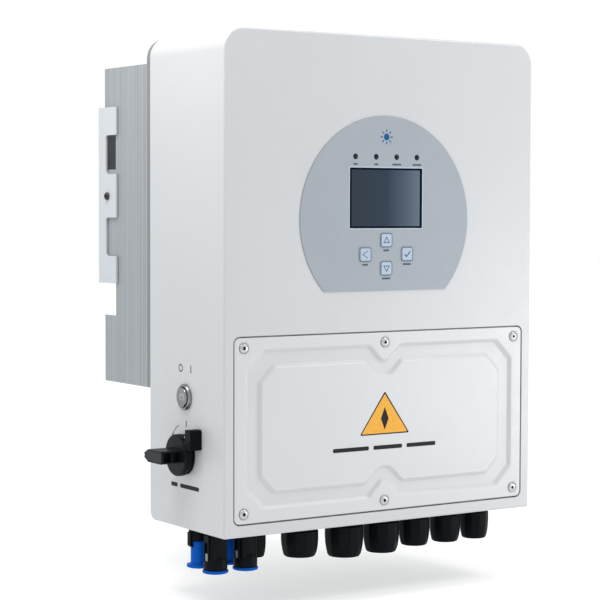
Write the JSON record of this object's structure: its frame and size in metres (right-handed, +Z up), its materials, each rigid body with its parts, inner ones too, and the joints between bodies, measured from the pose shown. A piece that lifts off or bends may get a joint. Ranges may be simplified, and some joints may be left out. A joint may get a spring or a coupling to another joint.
{
  "type": "string inverter",
  "caption": "Wall-hung solar inverter: white case with display and keys, screwed wiring cover, side switch, finned heatsink, wall bracket, cable glands below.",
  "frame": {"origin": "middle of the wall bracket's rear face, where it meets the wall", "axes": "+Y into the wall, so the front faces -Y; +Z up; +X to the right seen from the front"},
  "size_m": [0.36, 0.2336, 0.4625],
  "materials": {
    "white_paint": "satin powder coat",
    "grey_paint": "satin",
    "bracket_paint": "satin powder coat",
    "aluminium": "satin extruded",
    "steel": "satin",
    "membrane": "fine matt film",
    "key_film": "matt film",
    "dark_glass": "gloss",
    "lamp_lens": "gloss",
    "black_nylon": "moulded nylon",
    "blue_plastic": "semi-gloss moulded",
    "rubber": "matt",
    "circuit_board": "solder mask",
    "can_sleeve": "sleeve",
    "potting": "resin",
    "terminal_grey": "moulded"
  },
  "bodies": {
    "case": {"front_cover": "white_paint", "wiring_cover": "white_paint", "rear_chassis": "grey_paint", "wall_bracket": "bracket_paint", "heatsink": "aluminium", "power_button_bezel": "steel", "power_button_nut": "steel", "bracket_screw_left": "steel", "bracket_screw_right": "steel", "lcd_module": "steel", "cover_screw_1": "steel", "cover_screw_2": "steel", "cover_screw_3": "steel", "cover_screw_4": "steel", "cover_screw_5": "steel", "cover_screw_6": "steel", "display_overlay": "membrane", "display_window": "dark_glass", "indicator_lamp_1": "lamp_lens", "indicator_lamp_2": "lamp_lens", "indicator_lamp_3": "lamp_lens", "indicator_lamp_4": "lamp_lens", "dc_switch_base": "black_nylon", "dc_switch_body": "black_nylon", "dc_switch_lock_lug": "black_nylon", "pv_socket_1": "black_nylon", "pv_socket_2": "black_nylon", "pv_plug_1": "black_nylon", "pv_plug_2": "black_nylon", "gland_body_1": "black_nylon", "gland_body_2": "black_nylon", "gland_body_3": "black_nylon", "gland_body_4": "black_nylon", "gland_body_5": "black_nylon", "gland_body_6": "black_nylon", "gland_body_7": "black_nylon", "gland_nut_1": "black_nylon", "gland_nut_2": "black_nylon", "gland_nut_3": "black_nylon", "gland_nut_4": "black_nylon", "gland_nut_5": "black_nylon", "gland_nut_6": "black_nylon", "gland_nut_7": "black_nylon", "wiring_cover_gasket": "rubber", "display_board": "circuit_board", "main_power_board": "circuit_board", "control_board": "circuit_board", "capacitor_bank": "can_sleeve", "inductor": "potting", "terminal_block": "terminal_grey"},
    "power_button": {"power_button_cap": "steel"},
    "switch_knob": {"dc_switch_knob": "black_nylon"},
    "up_key": {"key_up": "key_film"},
    "back_key": {"key_back": "key_film"},
    "enter_key": {"key_enter": "key_film"},
    "down_key": {"key_down": "key_film"},
    "socket_cap_1": {"pv_socket_cap_1": "blue_plastic"},
    "plug_cap_1": {"pv_plug_cap_1": "blue_plastic"},
    "socket_cap_2": {"pv_socket_cap_2": "blue_plastic"},
    "plug_cap_2": {"pv_plug_cap_2": "blue_plastic"}
  },
  "joints": [
    {"name": "power_button_press", "type": "slide", "parent": "case", "child": "power_button", "axis": [1, 0, 0], "range_m": [0, 0.002], "stiffness_N_per_m": 600, "springref_m": -0.003},
    {"name": "dc_switch_turn", "type": "hinge", "parent": "case", "child": "switch_knob", "pos_m": [-0.165, -0.168, -0.2225], "axis": [1, 0, 0], "range_deg": [0, 90]},
    {"name": "up_key_press", "type": "slide", "parent": "case", "child": "up_key", "axis": [0, 1, 0], "range_m": [0, 0.0005], "stiffness_N_per_m": 800, "springref_m": -0.001},
    {"name": "back_key_press", "type": "slide", "parent": "case", "child": "back_key", "axis": [0, 1, 0], "range_m": [0, 0.0005], "stiffness_N_per_m": 800, "springref_m": -0.001},
    {"name": "enter_key_press", "type": "slide", "parent": "case", "child": "enter_key", "axis": [0, 1, 0], "range_m": [0, 0.0005], "stiffness_N_per_m": 800, "springref_m": -0.001},
    {"name": "down_key_press", "type": "slide", "parent": "case", "child": "down_key", "axis": [0, 1, 0], "range_m": [0, 0.0005], "stiffness_N_per_m": 800, "springref_m": -0.001},
    {"name": "socket_cap_1_pull", "type": "slide", "parent": "case", "child": "socket_cap_1", "axis": [0, 0, -1], "range_m": [0, 0.03]},
    {"name": "socket_cap_2_pull", "type": "slide", "parent": "case", "child": "socket_cap_2", "axis": [0, 0, -1], "range_m": [0, 0.03]},
    {"name": "plug_cap_1_pull", "type": "slide", "parent": "case", "child": "plug_cap_1", "axis": [0, 0, -1], "range_m": [0, 0.03]},
    {"name": "plug_cap_2_pull", "type": "slide", "parent": "case", "child": "plug_cap_2", "axis": [0, 0, -1], "range_m": [0, 0.03]}
  ]
}
